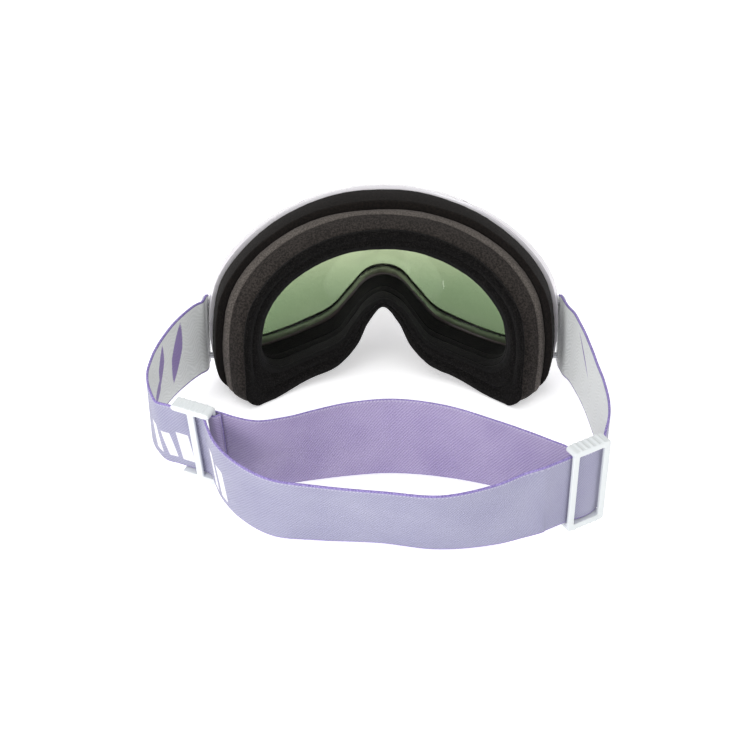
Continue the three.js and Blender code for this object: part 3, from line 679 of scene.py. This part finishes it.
gasketBlack = plasticMaterial("gasketBlack", "0b120d", "121c15", 0.22, coat=0.4, grain=0.1)
# Each pane's first colour is its tint darkened by painted shade at the bottom, its second the tint at the
# top.
lensInner = lensMaterial("lensInner", "e6e9e1", "f7f8f2", 0.02)
lensOuter = lensMaterial("lensOuter", "94ab88", "e6edc8", 0.03)
lensMirror = lensMaterial("lensMirror", "a2b894", "e2e9c7", 0.04, metallic=0.2)
pane("lens_inner_pane", between("lens", "window", lensShape["innerShare"]), innerDepth,
     lensShape["innerThickness"], lensInner, lensInner, "lens_inner_green", "lens_inner")
pane("lens_outer_pane", traced["lens"], outerDepth,
     lensShape["thickness"], lensOuter, lensMirror, "lens_outer_green", "lens_outer")

# The carrier is a channel, open to the back, with a lip that reaches past the window.
gasketShape = {"back": 0.6, "front": 3.0, "wall": 0.9, "edge": 0.3, "outer": 0.04, "channel": (0.3, 0.74),
               "lipStart": 0.95, "lip": 1.12, "steps": (3, 2)}


def makeGasket():
    back, front = depths["seat"] + gasketShape["back"], depths["seat"] + gasketShape["front"]
    roof = front - gasketShape["wall"]
    outer, lip = gasketShape["outer"], gasketShape["lip"]
    near, far = gasketShape["channel"]
    shares = [(outer, back), (outer, front), (lip, front), (lip, back + gasketShape["wall"]),
              (gasketShape["lipStart"], back), (far, back), (far, roof), (near, roof), (near, back)]
    corners = [(between("lens", "window", s), d) for s, d in shares]
    radii, flat = [gasketShape["edge"]] * len(corners), [0] * len(corners)
    grid = roundSection(corners, radii, flat, gasketShape["steps"])
    piece = gridMesh("lens_gasket_lip", keepAboveFloor(leanForward(grid)), closedRows=True, cover=gasketBlack)
    return dress(piece, "lens", "gasket_black", "lens_gasket")


makeGasket()
print("lens made")

# Straps. The sliders' and the clips' values stand here too, since the straps run through them.
sliderShape = {
    "width": 20, "bar": 1.6, "centreBar": 2.2, "plane": 2.5, "room": 0.5, "rise": 4.1, "endBarHeight": 3.2,
    "sunk": 1.5, "edge": 0.6, "cornerRadius": 1.5,
    "ridges": 5, "ridgeSpacing": 3, "ridgeRadius": 0.8, "ridgeSunk": 0.35,
}
leftSlider = {"at": (86, 57.2), "along": (-0.905, 0.425), "leanOut": 0.12, "flip": True}
rightSlider = {"at": (-89.6, 87), "along": (-0.858, -0.513), "leanOut": 0, "flip": False}
clipShape = {
    "strapX": 89.15, "y": -24, "middle": 33.4, "depth": 8, "lip": 0.8, "thickness": 1.1, "corner": 1.6,
    "ring": 2.8, "ringHeight": 0.35, "cutTop": 3.2, "rivetHeights": (19, 47),
}
strapShape = {
    "frameThickness": 1.5, "thickness": 1.15, "shortNarrower": 0.6, "shortThickness": 0.85, "rowsPerPoint": 8,
    "edgeRound": 0.5, "taper": 0.13, "taperLength": 10,
    "loopThickness": 0.9, "loopRoom": 0.4, "loopOffset": 0.65, "tail": 4, "tailLifts": (0.3, 0.4),
    "partingX": -3.7, "stretchFrom": 0.2, "stretchTo": 0.8,
}


def unit(vector):
    vector = np.asarray(vector, float)
    return vector / np.linalg.norm(vector)


def sliderAxes(holder):
    run = unit((*holder["along"], 0))
    level = np.array([run[1], -run[0], 0])
    up = unit(level * holder["leanOut"] + (0, 0, 1))
    return run, unit(np.cross(run, up)), up


def sliderMiddle(holder):
    up = sliderAxes(holder)[2]
    return np.array([*holder["at"], up[2] * (strapWidth / 2 + sliderShape["rise"]) + restHeight])


# Points beside a slider's middle: so far along the strap, so far outwards.
def nearSlider(holder, steps):
    run, out, up = sliderAxes(holder)
    middle = sliderMiddle(holder)
    return [(middle + run * along + out * away, up) for along, away in steps]


# Points of a strap that stands on the floor: x, y, its rise above the floor, and how it leans.
def standing(points):
    made = []
    for x, y, rise, leanX, leanY in points:
        up = unit((leanX, leanY, 1))
        made.append((np.array([x, y, up[2] * strapWidth / 2 + restHeight + rise]), up))
    return made


# The end of the short strap, from its folded tail, round a bar, to where it leaves for the other slider.
def endLoop(start, along, across, up, radius, flat):
    tail, fold = strapShape["tail"], strapShape["loopThickness"] + gap
    first, second = strapShape["tailLifts"]
    turn = [(-flat - radius * math.sin(a), radius * (1 + math.cos(a))) for a in np.radians(range(0, 181, 30))]
    folded = [(tail, fold + first), (tail * 0.75, fold + second), (flat + 1, 2 * radius)]
    steps = [*folded, *turn, (flat + 1, 0), (flat + 4, 0)]
    return [(start + along * a + across * b, up) for a, b in steps]


# The strap's end, flat against the frame's side wall.
def clipEnd(side):
    x, y, z = side * clipShape["strapX"], clipShape["y"], clipShape["middle"]
    return [(tipped((x, y + step, z)), tipped((0, 0, 1))) for step in (-5, -2, 2, 4.5)]


# From the left clip, through both sliders, to the right clip. Each point beside the frame has its own up.
def longRoute():
    leftSide = [
        ((90, -22.9, 27.3), (0, -0.262, 0.965)),
        ((93.4, -18.0, 27.8), (0, -0.24, 0.971)),
        ((97.2, -11.9, 28.0), (0, -0.2, 0.98)),
        ((100.9, -5.2, 27.9), (0, -0.16, 0.987)),
        ((104.6, 2.6, 27.5), (-0.01, -0.109, 0.994)),
        ((108.2, 11.8, 26.7), (-0.02, -0.06, 0.998)),
        ((110.4, 19.9, 25.9), (-0.025, -0.02, 0.999)),
        ((111.2, 31.0, 24.9), (-0.01, 0.01, 1)),
        ((108.3, 42.1, 24.2), (0.02, 0.06, 0.998)),
    ]
    throughLeft = nearSlider(leftSlider, [(-20, 0), (-13, 0), (-6, 0), (0, 0), (3, 0), (6, 1.4), (10.5, 6)])
    back = standing([
        (75, 77, 3, 0.04, 0.14), (66, 88.5, 1.6, 0.02, 0.14), (50.5, 99.5, 0.6, 0, 0.14),
        (30, 102.6, 0, 0, 0.18), (2, 105.3, 0, 0, 0.23), (-24, 109, 0, 0, 0.2),
        (-50, 104.3, 0.6, 0, 0.08), (-61, 101.2, 2.4, 0, 0.02),
    ])
    throughRight = nearSlider(rightSlider, [(-23, 0), (-18, 0), (-12, 0), (-6.5, 0), (-3, 0.8), (0, 1),
                                             (3, 0.7), (6, 0), (9.5, -1.6), (15, -7)])
    rightSide = [
        ((-101.8, 62, 23.6), (0, 0, 1)), ((-102.8, 51, 24.2), (0, 0, 1)),
        ((-102.0, 36.3, 25.0), (0, -0.02, 1)),
        ((-100.4, 25.2, 26.0), (0.01, -0.04, 0.999)),
        ((-99.0, 15.8, 27.0), (0.015, -0.091, 0.996)),
        ((-97.4, 6.7, 27.7), (0.015, -0.12, 0.993)),
        ((-95.3, -2.9, 28.3), (0.01, -0.171, 0.985)),
        ((-93.4, -10.9, 28.3), (0.005, -0.2, 0.98)),
        ((-90.9, -17.9, 27.9), (0, -0.24, 0.971)),
        ((-89.8, -23.3, 27.3), (0, -0.262, 0.965)),
    ]
    return clipEnd(1) + leftSide + throughLeft + back + throughRight + rightSide + clipEnd(-1)[::-1]


# From the left slider's outer bar to the right slider's centre bar.
def shortRoute():
    bar = sliderShape["bar"]
    radius = bar / 2 + strapShape["loopRoom"] + strapShape["loopThickness"] / 2
    inwards = -(sliderShape["plane"] + strapShape["loopOffset"]) - radius
    holds = [(leftSlider, 1, sliderShape["width"] / 2 - bar, 2 * bar),
             (rightSlider, -1, 0, sliderShape["centreBar"] * bar)]
    ends = []
    for holder, way, barAlong, barWidth in holds:
        run, out, up = sliderAxes(holder)
        start = sliderMiddle(holder) + run * barAlong + out * inwards
        ends.append(endLoop(start, run * way, out, up, radius, (barWidth - bar) / 2))
    middle = standing([
        (58, 64.2, 3, 0, -0.02), (44.7, 61, 2, 0, -0.06), (31, 55.3, 1, 0, -0.16),
        (16.3, 50.5, 0.7, 0, -0.26), (-3.7, 47.9, 0.7, 0, -0.3), (-27, 52, 0.7, 0, -0.22),
        (-52, 63.5, 1.6, 0, -0.04), (-65, 72.4, 3, 0, 0), (-74, 79, 3.6, 0, 0), (-79, 82.6, 3.9, 0, 0),
    ])
    return ends[0] + middle + ends[1][::-1]


# Rows of section points along a route, with how far along and across each one lies.
def strapGrid(route, width, thickness, taper=0):
    steps = strapShape["rowsPerPoint"]
    path = curveThrough([at for at, up in route], False, steps)
    ups = curveThrough([up for at, up in route], False, steps)
    ups /= np.linalg.norm(ups, axis=1, keepdims=True)
    runs = np.gradient(path, axis=0)
    runs /= np.linalg.norm(runs, axis=1, keepdims=True)
    outs = np.cross(runs, ups)
    outs /= np.linalg.norm(outs, axis=1, keepdims=True)
    acrosses = np.cross(outs, runs)
    lengths = np.concatenate([[0], np.cumsum(np.linalg.norm(np.diff(path, axis=0), axis=1))])
    halfWidth, halfThick = width / 2, thickness / 2
    edge = min(strapShape["edgeRound"], halfThick * 0.95)
    straight = np.linspace(-halfWidth + edge, halfWidth - edge, 15)
    arc = np.radians([67, 45, 22, 0, -22, -45, -67])
    topEdge = [(halfWidth - edge + edge * math.cos(a), halfThick * math.sin(a)) for a in arc]
    section = [(w, halfThick) for w in straight] + topEdge
    section += [(-w, -t) for w, t in section]
    faceColumns, edgeColumns = len(straight) - 1, len(arc) + 1
    slots = [0] * faceColumns + [2] * edgeColumns + [1] * faceColumns + [2] * edgeColumns
    fromEnd = np.clip(np.minimum(lengths, lengths[-1] - lengths) / strapShape["taperLength"], 0, 1)[:, None]
    narrowed = 1 - taper * (1 - fromEnd * fromEnd * (3 - 2 * fromEnd))
    grid = np.stack([path + acrosses * (w * narrowed if w > 0 else w) + outs * t for w, t in section], 1)
    alongAcross = np.stack([np.repeat(lengths[:, None], len(section), 1),
                            np.repeat(np.array([w for w, t in section])[None, :], len(path), 0)], -1)
    return grid, alongAcross, slots, path


webbingNear = webbingMaterial("webbingNear", "b3b3c5", "8684a2", "8573b6", webbingLook["bars"])
webbingFar = webbingMaterial("webbingFar", "c9bedb", "8a7bab", "8270b4")
gripPile = gripMaterial("gripPile", "f1f4f2", "cfd2d0", "7363a2")
webbingEdge = foamMaterial("webbingEdge", "6e5f9e", "a496cf", 0.8, sheen=0.1)


def makeLongStrap():
    made = strapGrid(longRoute(), strapWidth, strapShape["thickness"], strapShape["taper"])
    grid, alongAcross, slots = made[:3]
    long = gridMesh("strap_long_webbing", keepAboveFloor(toFrame(grid), 0.0002),
                    cover=[webbingNear, gripPile, webbingEdge], slots=slots, alongAcross=alongAcross)
    dress(long, "goggles", "strap_lilac", "strap_outer")


# In two halves, which part at the middle.
def makeShortStrap():
    width = strapWidth - strapShape["shortNarrower"]
    grid, alongAcross, slots, path = strapGrid(shortRoute(), width, strapShape["shortThickness"])
    grid = toFrame(grid)
    parting = int(np.argmin(np.abs(path[:, 0] - strapShape["partingX"])))
    halves = {"left": (slice(0, parting + 1), "slider_left", leftSlider, (True, False)),
              "right": (slice(parting, None), "slider_right", rightSlider, (False, True))}
    for side, (rows, body, holder, caps) in halves.items():
        half = gridMesh("strap_short_" + side, grid[rows], cover=[webbingFar, webbingFar, webbingEdge],
                        slots=slots, alongAcross=alongAcross[rows], caps=caps)
        dress(half, None, "strap_lilac", "strap_inner")
        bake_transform(half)


makeLongStrap()
makeShortStrap()
print("straps made")

# Moulded hardware is cast from rough solids: a fine skin over them all, then smoothed.
castFinish = {"grain": 0.26, "smoothing": 5}
hardwareWhite = plasticMaterial("hardwareWhite", "dde1e2", "d4d9da", 0.3, coat=0.3, scatter=0.1)


# The outline of a rounded rectangle.
def roundedShape(low, high, bottom, top, radius):
    middles = [(high - radius, top - radius, 0), (low + radius, top - radius, 90),
               (low + radius, bottom + radius, 180), (high - radius, bottom + radius, 270)]
    arcs = [(x, z, math.radians(first + turn)) for x, z, first in middles for turn in range(0, 91, 15)]
    return [(x + radius * math.cos(angle), z + radius * math.sin(angle)) for x, z, angle in arcs]


# Adds a shape, pushed through from front to back, to a mesh in the making.
def pushThrough(solid, shape, front, back):
    rings = [[solid.verts.new((x / 1000, y / 1000, z / 1000)) for x, z in shape] for y in (front, back)]
    solid.faces.new(rings[0])
    solid.faces.new(rings[1][::-1])
    for i in range(len(shape)):
        j = (i + 1) % len(shape)
        solid.faces.new((rings[0][i], rings[1][i], rings[1][j], rings[0][j]))


# Turns a solid into one smooth moulding and sets it in its place, along its three axes.
def castPiece(solid, node, slot, body, axes, middle):
    bmesh.ops.recalc_face_normals(solid, faces=solid.faces)
    rough = bpy.data.meshes.new(node)
    solid.to_mesh(rough)
    solid.free()
    mould = addObject(node, rough)
    cast = mould.modifiers.new("cast", "REMESH")
    cast.mode = "VOXEL"
    cast.voxel_size = castFinish["grain"] / 1000
    soften = mould.modifiers.new("soften", "SMOOTH")
    soften.iterations = castFinish["smoothing"]
    finished = mould.evaluated_get(bpy.context.evaluated_depsgraph_get())
    made = bpy.data.meshes.new_from_object(finished)
    bpy.data.objects.remove(mould)
    turn = Matrix([[axis[i] for axis in axes] for i in range(3)]).to_4x4()
    turn.translation = Vector(toFrame(middle))
    made.transform(turn)
    made.materials.clear()
    made.materials.append(hardwareWhite)
    made.polygons.foreach_set("use_smooth", [True] * len(made.polygons))
    dress(addObject(node + "_moulded", made), body, slot, node)


# Nearly a circle, as a rounded square with short straight sides.
def roundShape(x, z, radius):
    return roundedShape(x - radius, x + radius, z - radius, z + radius, radius * 0.98)


# Two outer bars, a centre bar behind the strap, and an end bar with ridges above and below.
def makeSlider(name, holder):
    shape, bar, plane = sliderShape, sliderShape["bar"], sliderShape["plane"]
    reach = strapWidth / 2 + shape["room"]
    barReach = reach + shape["sunk"]
    half, depth, radius = shape["width"] / 2, plane + bar / 2, shape["ridgeRadius"]
    solid = bmesh.new()
    for side in (-1, 1):
        low, high = sorted((side * (half - 2 * bar), side * half))
        outerBar = roundedShape(low, high, -barReach, barReach, shape["edge"])
        pushThrough(solid, outerBar, plane - bar / 2, depth)
        bottom, top = sorted((side * reach, side * (reach + shape["endBarHeight"])))
        endBar = roundedShape(-half, half, bottom, top, shape["cornerRadius"])
        pushThrough(solid, endBar, -depth, depth)
        for k in range(shape["ridges"]):
            along = (k - (shape["ridges"] - 1) / 2) * shape["ridgeSpacing"]
            height = side * (reach + shape["endBarHeight"] - shape["ridgeSunk"])
            pushThrough(solid, roundShape(along, height, radius), -depth, depth)
    centre = shape["centreBar"] / 2 * bar
    centreBar = roundedShape(-centre, centre, -barReach, barReach, shape["edge"])
    pushThrough(solid, centreBar, -depth, -plane + bar / 2)
    run, out, up = sliderAxes(holder)
    if holder["flip"]:
        run, out = -run, -out
    castPiece(solid, name, "hardware_white", name, (run, out, up), sliderMiddle(holder))


makeSlider("slider_left", leftSlider)
makeSlider("slider_right", rightSlider)
print("sliders made")


# A plate that holds the strap's end against the frame, with two raised rings for its rivets.
def makeClip(name, side):
    shape, half, thick = clipShape, clipShape["depth"] / 2, clipShape["thickness"] / 2
    tall = strapWidth / 2 + shape["lip"]
    solid = bmesh.new()
    plate = roundedShape(-half, half, -tall, tall - shape["cutTop"], shape["corner"])
    pushThrough(solid, plate, -thick, thick)
    for height in shape["rivetHeights"]:
        ring = roundShape(0, height - shape["middle"], shape["ring"])
        pushThrough(solid, ring, *sorted((side * thick * 0.5, side * (thick + shape["ringHeight"]))))
    x = side * (shape["strapX"] + strapShape["frameThickness"] / 2 + gap + thick)
    axes = (tipped((0, -1, 0)), np.array([1, 0, 0]), tipped((0, 0, 1)))
    castPiece(solid, name, "hardware_white", "goggles", axes, tipped((x, shape["y"], shape["middle"])))


makeClip("strap_clip_left", 1)
makeClip("strap_clip_right", -1)
print("strap clips made")

# Hard parts keep their CAD shape, with softened edges and moulded plastic or steel.
frameWhite = plasticMaterial("frameWhite", "f5f3f6", "efebf1", 0.22, coat=0.5, scatter=0.1)
innerBlack = plasticMaterial("innerBlack", "3a3331", "4d4542", 0.28, coat=0.3)
spacerFoam = foamMaterial("spacerFoam", "0b0d0b", "1d201d", 0.8)
steel = steelMaterial("steel", "8f9094", "c4c5c8")
hardFinish = {
    "weld": 0.00001, "segments": 3, "sharperThan": 38,
    "covers": {"frame_shell": frameWhite, "inner_frame": innerBlack, "clip_rivet": steel,
               "frame_magnet": steel, "lens_magnet": steel, "lens_spacer": spacerFoam},
    "edges": {"frame_shell": 0.5, "inner_frame": 0.35, "clip_rivet": 0.4,
              "frame_magnet": 0.15, "lens_magnet": 0.15, "lens_spacer": 0.1},
}


def finishNode(node, part):
    for kind, width in hardFinish["edges"].items():
        if not node.startswith(kind):
            continue
        part.data.materials.clear()
        part.data.materials.append(hardFinish["covers"][kind])
        weld = part.modifiers.new("weld", "WELD")
        weld.merge_threshold = hardFinish["weld"]
        soften = part.modifiers.new("soften", "BEVEL")
        soften.width = width / 1000
        soften.segments = hardFinish["segments"]
        soften.limit_method = "ANGLE"
        soften.angle_limit = math.radians(hardFinish["sharperThan"])
        soften.harden_normals = True
        part.data.polygons.foreach_set("use_smooth", [True] * len(part.data.polygons))


for nodeName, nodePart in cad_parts.items():
    if not nodePart.hide_render:
        finishNode(nodeName, nodePart)
print("hard parts finished")

# Floor, light and camera. Each light: its place, what it is aimed at, its size and its power.
studio = {
    "elevation": 36, "distance": 0.8, "aim": (0.0, -0.015, 0.013), "lens": 76.8,
    "sky": 0.62, "floorSize": 25, "floorGlow": 0.44,
    "lights": {
        "top": ((0.2, 0.1, 1.4), (0, 0, 0), 1.6, 7),
        "front": ((-0.9, 1.1, 0.9), (0, 0, 0.03), 0.9, 1.3),
        "side": ((0.45, 0.5, 0.3), (-0.1, 0, 0.03), 0.4, 1.8),
        "card": ((-0.55, 0.9, 0.2), (0.03, -0.05, 0.05), 0.25, 0.7),
    },
}


def makeFloor():
    size = studio["floorSize"]
    mesh = bpy.data.meshes.new("floor")
    corners = [(-size, -size, 0), (size, -size, 0), (size, size, 0), (-size, size, 0)]
    mesh.from_pydata(corners, [], [(0, 1, 2, 3)])
    floor = addObject("floor", mesh)
    material, tree, shader = newMaterial("paper")
    at = millimetres(tree)
    tooth = make(tree, "TexNoise", {"Vector": at, "Scale": 0.02, "Detail": 2.0})
    paint(tree, shader, tooth, "fbfbfb", "fefefe")
    setShader(shader, roughness=0.8, specular=0.2)
    shader.inputs["Emission Color"].default_value = (1, 1, 1, 1)
    shader.inputs["Emission Strength"].default_value = studio["floorGlow"]
    mesh.materials.append(material)


def stand(thing, place, direction):
    thing.location = place
    thing.rotation_mode = "QUATERNION"
    thing.rotation_quaternion = direction.to_track_quat("-Z", "Y")


def areaLight(name, place, aim, size, power):
    data = bpy.data.lights.new(name, "AREA")
    data.shape = "DISK"
    data.size = size
    data.energy = power
    stand(addObject(name, data), place, Vector(aim) - Vector(place))


def makeLights():
    world = bpy.data.worlds.new("studio")
    world.use_nodes = True
    sky = world.node_tree.nodes["Background"]
    sky.inputs["Color"].default_value = (1, 1, 1, 1)
    sky.inputs["Strength"].default_value = studio["sky"]
    bpy.context.scene.world = world
    for name, values in studio["lights"].items():
        areaLight(name, *values)


def makeCamera():
    elevation = math.radians(studio["elevation"])
    aim = Vector(studio["aim"])
    back = Vector((0, math.cos(elevation), math.sin(elevation)))
    data = bpy.data.cameras.new("camera")
    data.lens = studio["lens"]
    data.sensor_width = 36
    data.clip_start = 0.01
    camera = addObject("camera", data)
    stand(camera, aim + back * studio["distance"], -back)
    bpy.context.scene.camera = camera
    bpy.context.scene.view_settings.view_transform = "Standard"


makeFloor()
makeLights()
makeCamera()
print("floor, light and camera set")
